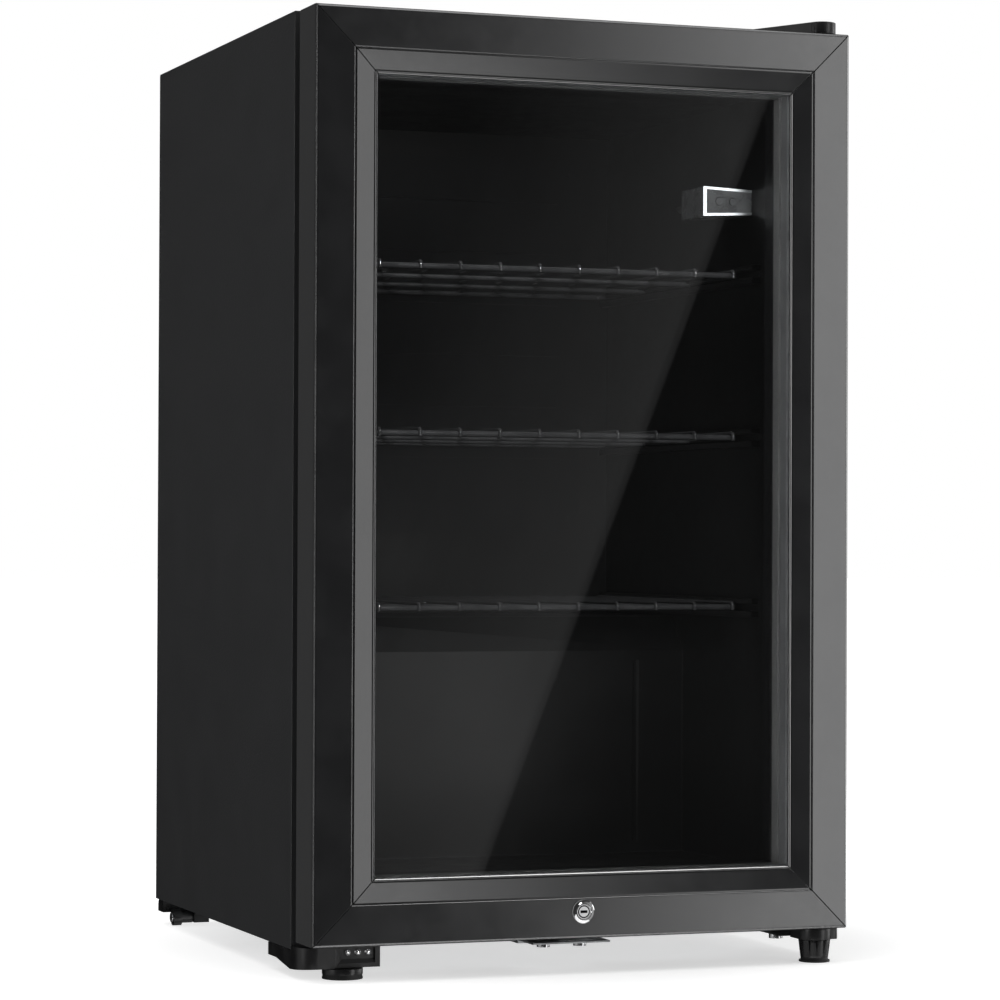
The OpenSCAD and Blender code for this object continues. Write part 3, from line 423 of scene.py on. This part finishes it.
def piece(name, mesh_or_curve, body, mat, slot, *nodes):
    """Adds a visual piece to a body; it stands in for the nodes named."""
    obj = bpy.data.objects.new(name, mesh_or_curve)
    scene.collection.objects.link(obj)
    obj.data.materials.append(mat)
    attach(obj, body)
    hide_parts(*nodes)


def from_bmesh(name, bm, smooth_deg):
    """Mesh with edges kept sharp above an angle."""
    bmesh.ops.recalc_face_normals(bm, faces=bm.faces)
    for e in bm.edges:
        e.smooth = not (len(e.link_faces) == 2 and e.calc_face_angle(0.0) > math.radians(smooth_deg))
    for f in bm.faces:
        f.smooth = True
    mesh = bpy.data.meshes.new(name)
    bm.to_mesh(mesh)
    bm.free()
    return mesh


def fillet(points, radius, closed=False, steps=6):
    """Rounds the corners of a polyline."""
    pts = [Vector(p) for p in points]
    n, out = len(pts), []
    for i, p in enumerate(pts):
        if not closed and i in (0, n - 1):
            out.append(p)
            continue
        a, b = pts[i - 1], pts[(i + 1) % n]
        ua, ub = (a - p).normalized(), (b - p).normalized()
        half = ua.angle(ub) / 2
        if half > math.radians(88):
            out.append(p)
            continue
        reach = min(radius / math.tan(half), (a - p).length * 0.49, (b - p).length * 0.49)
        r = reach * math.tan(half)
        centre = p + (ua + ub).normalized() * (r / math.sin(half))
        va, vb = (p + ua * reach - centre).normalized(), (p + ub * reach - centre).normalized()
        for k in range(steps + 1):
            out.append(centre + va.slerp(vb, k / steps) * r)
    return out


def wires(name, paths, radius):
    """One curve object of round wires; each path is (points, closed)."""
    cu = bpy.data.curves.new(name, "CURVE")
    cu.dimensions = "3D"
    cu.bevel_depth = radius
    cu.bevel_resolution = 4
    cu.use_fill_caps = True
    for pts, closed in paths:
        sp = cu.splines.new("POLY")
        sp.points.add(len(pts) - 1)
        for q, p in zip(sp.points, pts):
            q.co = (*p, 1.0)
        sp.use_cyclic_u = closed
        sp.use_smooth = True
    return cu


def lathe(profile, centre, segments=64):
    """Closed solid of revolution about Y; profile is a list of (radius, depth) in millimetres."""
    bm = bmesh.new()
    rings = []
    for r, d in profile:
        ring = []
        for k in range(segments):
            a = 2 * math.pi * k / segments
            v = Vector((r * MM * math.cos(a), d * MM, r * MM * math.sin(a)))
            ring.append(bm.verts.new(Vector(centre) + v))
        rings.append(ring)
    m = len(rings)
    for i in range(m):
        a, b = rings[i], rings[(i + 1) % m]
        for k in range(segments):
            bm.faces.new((a[k], a[(k + 1) % segments], b[(k + 1) % segments], b[k]))
    return bm


# ---------------------------------------------------------------- wire shelves
RIM_R, WIRE_R, CROSS_R = 2.5 * MM, 1.5 * MM, 2.0 * MM
RIM_CORNER, WIRE_BEND = 12 * MM, 3.2 * MM
WIRE_PITCH, WIRES_PER_SIDE = 33.5 * MM, 5
WIRE_SINK = 0.4 * MM
CROSS_PLACES = (95 * MM, 190 * MM)
for shelf in ("upper_shelf", "middle_shelf", "lower_shelf"):
    lo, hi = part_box(shelf)
    side, front, back = hi.x - RIM_R, lo.y + 5.5 * MM, hi.y - RIM_R
    rim_z = lo.z + RIM_R
    top = rim_z + RIM_R + WIRE_R - WIRE_SINK
    rim = fillet([(-side, front, rim_z), (side, front, rim_z), (side, back, rim_z), (-side, back, rim_z)],
                 RIM_CORNER, True, 8)
    tip = front - 3.9 * MM
    along = [(fillet([(i * WIRE_PITCH, back + 1.5 * MM, top), (i * WIRE_PITCH, tip, top),
                      (i * WIRE_PITCH, tip, rim_z - 2.2 * MM)], WIRE_BEND), False)
             for i in range(-WIRES_PER_SIDE, WIRES_PER_SIDE + 1)]
    low = rim_z - 0.6 * MM
    cross = [([(-side, front + y, low), (side, front + y, low)], False) for y in CROSS_PLACES]
    for name, paths, radius in (("_rim", [(rim, True)], RIM_R), ("_wires", along, WIRE_R),
                                ("_cross_wires", cross, CROSS_R)):
        piece(shelf + name, wires(shelf + name, paths, radius), shelf, MAT["wire"],
              "black_coated_steel", shelf)

# ---------------------------------------------------------------- gasket with folds
lo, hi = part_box("gasket")
rail_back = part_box("left_rail")[1].y
# Outline of the seal's section: (inward from its outer edge, behind the rails), in millimetres.
folds = [(0.0, 0.2), (12.5, 0.2), (12.5, 2.2), (11.6, 3.0), (10.9, 3.9), (11.6, 4.8), (12.5, 5.6),
         (12.5, 10.4), (11.9, 10.95), (0.6, 10.95), (0.0, 10.4), (0.0, 5.6), (0.9, 4.8), (1.6, 3.9),
         (0.9, 3.0), (0.0, 2.2)]
bm = bmesh.new()
loops = []
for u, d in folds:
    u, y = u * MM, rail_back + d * MM
    loops.append([bm.verts.new(v) for v in (
        (lo.x + u, y, lo.z + u), (hi.x - u, y, lo.z + u),
        (hi.x - u, y, hi.z - u), (lo.x + u, y, hi.z - u))])
for i in range(len(loops)):
    a, b = loops[i], loops[(i + 1) % len(loops)]
    for k in range(4):
        bm.faces.new((a[k], a[(k + 1) % 4], b[(k + 1) % 4], b[k]))
piece("gasket_folds", from_bmesh("gasket_folds", bm, 60), "door", MAT["gasket"], "black_rubber", "gasket")

# ---------------------------------------------------------------- lock bezel and barrel
lo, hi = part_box("lock_housing")
cx, cz = (lo.x + hi.x) / 2, (lo.z + hi.z) / 2
face = lo.y + 2 * MM
# Section of the nut, barrel and bezel: (radius, behind the door's face), in millimetres.
profile = [(5.56, 24.0), (8.0, 24.0), (8.0, 7.0), (11.2, 7.0), (11.2, 3.2), (8.0, 3.2), (8.0, 0.05),
           (9.0, 0.05), (9.0, -0.55), (8.75, -0.85), (8.3, -0.95), (6.95, -1.75), (6.6, -1.95),
           (6.15, -1.95), (5.85, -1.7), (5.56, -1.3)]
bm = lathe(profile, (cx, face, cz))
piece("lock_barrel", from_bmesh("lock_barrel", bm, 28), "door", MAT["chrome"], "chrome", "lock_housing")

# ---------------------------------------------------------------- spare hinge bolts: domed heads
# Sizes in millimetres; the profile runs from the flange at the back to the dome in front.
HEAD_R, DOME_HEIGHT, FLANGE_R = 1.7, 0.9, 2.7
lo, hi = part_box("spare_hinge_bolts")
half = (hi.z - lo.z) / 2
depth = (hi.y - lo.y) / MM
dome = [(HEAD_R * math.cos(t), DOME_HEIGHT * (1 - math.sin(t))) for t in (1.4, 1.1, 0.75, 0.4, 0.05)]
rim = depth - 0.8
profile = [(FLANGE_R, depth), (0.02, depth), (0.02, 0.0), *dome, (HEAD_R, rim), (FLANGE_R - 0.3, rim),
           (FLANGE_R, rim + 0.3)]
for i, x in enumerate((lo.x + half, (lo.x + hi.x) / 2, hi.x - half)):
    name = f"spare_bolt_{i + 1}"
    bm = lathe(profile, (x, lo.y, lo.z + half), segments=40)
    piece(name, from_bmesh(name, bm, 30), "cabinet", MAT["chrome"], "bright_steel", "spare_hinge_bolts")

# ---------------------------------------------------------------- floor and backdrop
FLOOR_SIDE, FLOOR_FRONT, FLOOR_BACK = 14, -10, 24
FLOOR_DROP = 0.2 * MM
FLOOR_SEEN, FLOOR_BOUNCE = 0.74, 0.7
# The floor glows less close to the object: a painted shadow that makes the contact shadow show.
SHADE_CENTRE, SHADE_REACH = (0.05, -0.02, 0), (0.17, 0.52)
GLOW_NEAR, GLOW_FAR = 0.54, 1.0
floor_mesh = bpy.data.meshes.new("floor")
corners = [(-FLOOR_SIDE, FLOOR_FRONT, 0), (FLOOR_SIDE, FLOOR_FRONT, 0),
           (FLOOR_SIDE, FLOOR_BACK, 0), (-FLOOR_SIDE, FLOOR_BACK, 0)]
floor_mesh.from_pydata(corners, [], [(0, 1, 2, 3)])
floor = bpy.data.objects.new("floor", floor_mesh)
floor.location.z = -FLOOR_DROP
scene.collection.objects.link(floor)
floor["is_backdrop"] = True
floor.visible_glossy = False
floor.visible_shadow = False
floor_mat = bpy.data.materials.new("pale_floor")
floor_mesh.materials.append(floor_mat)
nt, out = nodes_of(floor_mat)
geo = add(nt, "NewGeometry")
span = add(nt, "VectorMath", operation="DISTANCE")
nt.links.new(geo.outputs["Position"], span.inputs[0])
span.inputs[1].default_value = SHADE_CENTRE
lit = add(nt, "BsdfDiffuse")
lit.inputs["Color"].default_value = (FLOOR_SEEN, FLOOR_SEEN, FLOOR_SEEN, 1)
glow = add(nt, "Emission")
glow.inputs["Color"].default_value = (1, 1, 1, 1)
nt.links.new(ramp(nt, span.outputs["Value"], GLOW_NEAR, GLOW_FAR, *SHADE_REACH), glow.inputs["Strength"])
seen = add(nt, "AddShader")
nt.links.new(lit.outputs[0], seen.inputs[0])
nt.links.new(glow.outputs[0], seen.inputs[1])
bounce = add(nt, "BsdfDiffuse")
bounce.inputs["Color"].default_value = (FLOOR_BOUNCE, FLOOR_BOUNCE, FLOOR_BOUNCE, 1)


def by_ray(nt, lighting, shown, out):
    """One shader lights the object, and the other is what the camera sees directly."""
    path = add(nt, "LightPath")
    mix = add(nt, "MixShader")
    nt.links.new(path.outputs["Is Camera Ray"], mix.inputs[0])
    nt.links.new(lighting.outputs[0], mix.inputs[1])
    nt.links.new(shown.outputs[0], mix.inputs[2])
    nt.links.new(mix.outputs[0], out.inputs[0])


by_ray(nt, bounce, seen, out)

# A white backdrop. It lights the object from the sides and above, and barely from the front and the back.
SIDE_LEVEL, FRONT_LEVEL, FRONT_SPAN = 0.42, 0.03, (-0.72, -0.25)
REAR_SHARE, REAR_SPAN = 0.02, (0.25, 0.8)
world = bpy.data.worlds.new("studio")
scene.world = world
world.use_nodes = True
nt = world.node_tree
nt.nodes.clear()
out = add(nt, "OutputWorld")
white = add(nt, "Background")
white.inputs["Color"].default_value = (1, 1, 1, 1)
white.inputs["Strength"].default_value = 1.0
soft = add(nt, "Background")
soft.inputs["Color"].default_value = (1, 1, 1, 1)
way_y = part_of(nt, add(nt, "TexCoord").outputs["Generated"], 1)
level = combine(nt, "MULTIPLY", ramp(nt, way_y, FRONT_LEVEL, SIDE_LEVEL, *FRONT_SPAN),
                ramp(nt, way_y, 1.0, REAR_SHARE, *REAR_SPAN))
nt.links.new(level, soft.inputs["Strength"])
by_ray(nt, soft, white, out)

# ---------------------------------------------------------------- lamps


def group(name, keep):
    """Collection of the pieces whose name passes keep, for lamps that serve only those pieces."""
    c = bpy.data.collections.new(name)
    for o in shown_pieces():
        if keep(o.name):
            c.objects.link(o)
    return c


RAILS = ("top_rail", "bottom_rail", "left_rail", "right_rail")
PANES = ("outer_glass", "inner_glass")
top_rail, bottom_rail, left_rail, right_rail = (group("for_" + r, lambda n, r=r: n == r) for r in RAILS)
rails = group("for_rails", lambda n: n in RAILS)
panes = group("for_panes", lambda n: n in PANES)
lock_set = group("for_lock", lambda n: n.startswith("lock_"))
plug = group("for_lock_plug", lambda n: n == "lock_plug")
flange = group("for_flange", lambda n: n in ("left_side_panel", "top_panel"))
door_liner = group("for_door_liner", lambda n: n in ("inner_door_frame", "glass_spacer"))
unit = group("for_control_unit", lambda n: n in ("control_housing", "up_button", "down_button"))
shelving = group("for_shelving", lambda n: "shelf" in n)
cavity = group("for_cavity", lambda n: n in ("inner_liner", "evaporator_plate"))
interior = group("for_interior", lambda n: "shelf" in n or n in ("inner_liner", "evaporator_plate"))
bracket = group("for_bracket", lambda n: n == "corner_bracket")
bolts = group("for_bolts", lambda n: n.startswith("spare_bolt"))
rear = group("for_rear", lambda n: n not in RAILS + PANES)
others = group("for_others", lambda n: n not in RAILS + PANES and not n.startswith(("lock_", "spare_")))
others.objects.link(floor)


def card(name, centre, facing, width, height, radiance, roll=0.0, serve=None):
    """Soft box: a rectangular lamp that looks from centre along facing, for the pieces in serve or for all.

    Sizes are in metres and radiance in watts per square metre and steradian, so energy follows the size.
    """
    data = bpy.data.lights.new(name, "AREA")
    data.shape = "RECTANGLE"
    data.size, data.size_y = width, height
    data.energy = radiance * math.pi * width * height
    ob = bpy.data.objects.new(name, data)
    scene.collection.objects.link(ob)
    f = Vector(facing).normalized()
    side = f.cross(Vector((0, 0, 1)))
    side = side.normalized() if side.length > 1e-3 else Vector((1, 0, 0))
    upv = side.cross(f)
    s2 = side * math.cos(roll) + upv * math.sin(roll)
    u2 = -side * math.sin(roll) + upv * math.cos(roll)
    ob.matrix_world = Matrix.Translation(centre) @ Matrix((s2, u2, -f)).transposed().to_4x4()
    ob.visible_camera = False
    if serve:
        ob.light_linking.receiver_collection = serve


# Distance of the upright cards in front of the door.
CARD_Y = -3.0


def graded(name, serve, x0, x1, z, height, levels):
    """Row of upright cards in front of the door, stepping through levels from x0 to x1."""
    w = (x1 - x0) / len(levels)
    for i, level in enumerate(levels):
        if level > 0:
            card(f"{name}_{i}", (x0 + (i + 0.5) * w, CARD_Y, z), (0, 1, 0), w, height, level, serve=serve)


# Door frame: a gradient on each face and bevel, then thin lines along the edges.
FACE_LEVELS = (0.0, 0.0, 0.0, 1.2, 3.05, 4.9, 6.4, 7.1)
TOP_BEVEL_LEVELS = (6.6, 5.6, 4.0, 2.3, 0.9, 0.1, 0.0, 0.0)
LOW_BEVEL_LEVELS = (5.5, 4.7, 3.1, 1.3, 0.1, 0.0, 0.0, 0.0)
graded("top_face", top_rail, 0.45, 2.05, 1.3, 1.3, FACE_LEVELS)
graded("low_face", bottom_rail, 0.45, 2.05, -0.5, 1.1, FACE_LEVELS)
graded("top_bevel", top_rail, 0.35, 1.95, -0.6, 1.3, TOP_BEVEL_LEVELS)
graded("low_bevel", bottom_rail, 0.35, 1.95, 1.0, 1.0, LOW_BEVEL_LEVELS)
card("left_bevel", (2.6, CARD_Y, 0.4), (0, 1, 0), 1.9, 5.0, 3.1, serve=left_rail)
card("right_face", (1.9, CARD_Y, 0.4), (0, 1, 0), 1.7, 5.0, 4.4, serve=right_rail)
card("edge_top", (0.0, -1.2, 3.0), (0, 0.3, -1), 3.0, 2.0, 5.0, serve=rails)
card("edge_left", (-3.0, -1.2, 0.4), (1, 0.35, 0), 1.0, 3.0, 8.0, serve=rails)
card("edge_right", (3.0, -1.1, 0.4), (-1, 0.3, 0), 1.2, 3.0, 10.0, serve=rails)
card("edge_low", (0.0, -1.2, -2.2), (0, 0.4, 1), 3.0, 1.2, 9.0, serve=rails)
card("door_side_sheen", (-1.2, 2.8, 0.4), (0.35, -1, 0), 1.8, 3.4, 0.11, serve=left_rail)
card("groove_line", (1.2, -0.6, 3.0), (-0.3, 0.1, -1), 1.8, 0.9, 24.0, serve=bottom_rail)

# Glass: tilted strips side by side, which fade out to the left from one sharp edge.
GLARE_TILT, GLARE_STRIPS, STRIP_WIDTH = -0.375, 14, 0.034
GLARE_LEVEL, GLARE_FADE = 0.175, 1.15
glare_edge = Vector((1.206, -3.05, 0.411))
across = Vector((math.cos(GLARE_TILT), 0, math.sin(GLARE_TILT)))
for i in range(GLARE_STRIPS):
    share = (i + 0.5) / GLARE_STRIPS
    card(f"glass_glare_{i}", glare_edge - across * (i + 0.5) * STRIP_WIDTH, (0, 1, 0), STRIP_WIDTH, 6.0,
         GLARE_LEVEL * (1 - share) ** GLARE_FADE, roll=GLARE_TILT, serve=panes)

# Cabinet, from the front, the sides, above, below and behind.
card("right_front", (2.6, CARD_Y, 0.6), (0, 1, 0), 1.8, 4.0, 2.2, serve=others)
card("overhead", (-0.2, -0.6, 2.9), (0.05, 0.15, -1), 3.4, 3.0, 1.2, serve=others)
card("left_side", (-3.2, -0.9, 0.7), (1, 0.25, 0), 1.0, 2.4, 0.9, serve=others)
card("right_side", (3.2, 0.3, 0.7), (-1, -0.1, 0), 1.6, 2.4, 1.6)
card("under", (0, -0.9, -0.6), (0, 0.35, 1), 1.6, 0.8, 1.2)
card("back_fill", (0.6, 3.0, 0.9), (-0.18, -1, -0.2), 1.8, 1.8, 2.5, serve=rear)
card("flange_line", (-3.0, -1.1, 0.4), (1, 0.3, 0), 0.5, 3.0, 12.0, serve=flange)
card("bracket_lip", (0.85, CARD_Y, -0.33), (-0.3, 1, 0.1), 0.5, 0.5, 3.0, serve=bracket)
card("bolt_dots", (0.55, CARD_Y, 0.35), (-0.2, 1, -0.1), 0.7, 0.7, 22.0, serve=bolts)

# Inside, partly through the glass and partly from small cards in the cavity itself.
card("door_liner_fill", (-2.2, -2.0, 0.45), (0.75, 0.65, 0), 2.5, 3.0, 13.2, serve=door_liner)
card("door_liner_low", (0.4, -2.0, -0.9), (-0.1, 0.75, 0.6), 2.0, 1.2, 6.4, serve=door_liner)
card("door_liner_high", (0.2, -2.0, 2.2), (-0.05, 0.8, -0.6), 2.0, 1.2, 6.8, serve=door_liner)
card("unit_fill", (-0.5, -2.6, 0.8), (0.2, 1, 0), 1.6, 1.6, 17.0, serve=unit)
card("wire_glint", (-0.5, -2.3, 1.5), (0.2, 0.8, -0.4), 1.1, 1.1, 130.0, serve=shelving)
lo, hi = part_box("inner_liner")
card("cavity_fill", (-0.02, lo.y + 12 * MM, lo.z + 0.22), (0.1, 1, -0.15), 0.3, 0.3, 0.5, serve=cavity)
card("inside", (0.0, lo.y + 75 * MM, hi.z - 30 * MM), (0, 0.55, -1), 0.3, 0.03, 2.2, serve=interior)

# Lock: four small cards around its axis light the bezel, and a large one the face of the plug.
LOCK_CARDS = ((0.34, 7.0), (0.2, 4.5), (0.11, 3.0), (0.26, 9.0))
LOCK_TURN, LOCK_REACH = -4, 0.9
OUTWARD, FORWARD = 0.8, 0.62
lo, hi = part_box("lock_housing")
lock_centre = Vector(((lo.x + hi.x) / 2, lo.y, (lo.z + hi.z) / 2))
for i, (size, radiance) in enumerate(LOCK_CARDS):
    a = math.radians(90 * i + LOCK_TURN)
    way = Vector((math.sin(a) * OUTWARD, -FORWARD, math.cos(a) * OUTWARD))
    card(f"lock_card_{i}", lock_centre + way * LOCK_REACH, -way, size, size, radiance, serve=lock_set)
card("plug_card", (1.25, CARD_Y, -0.2), (-0.4, 1, 0.08), 1.4, 1.4, 0.75, serve=plug)

scene.view_settings.view_transform = "Standard"
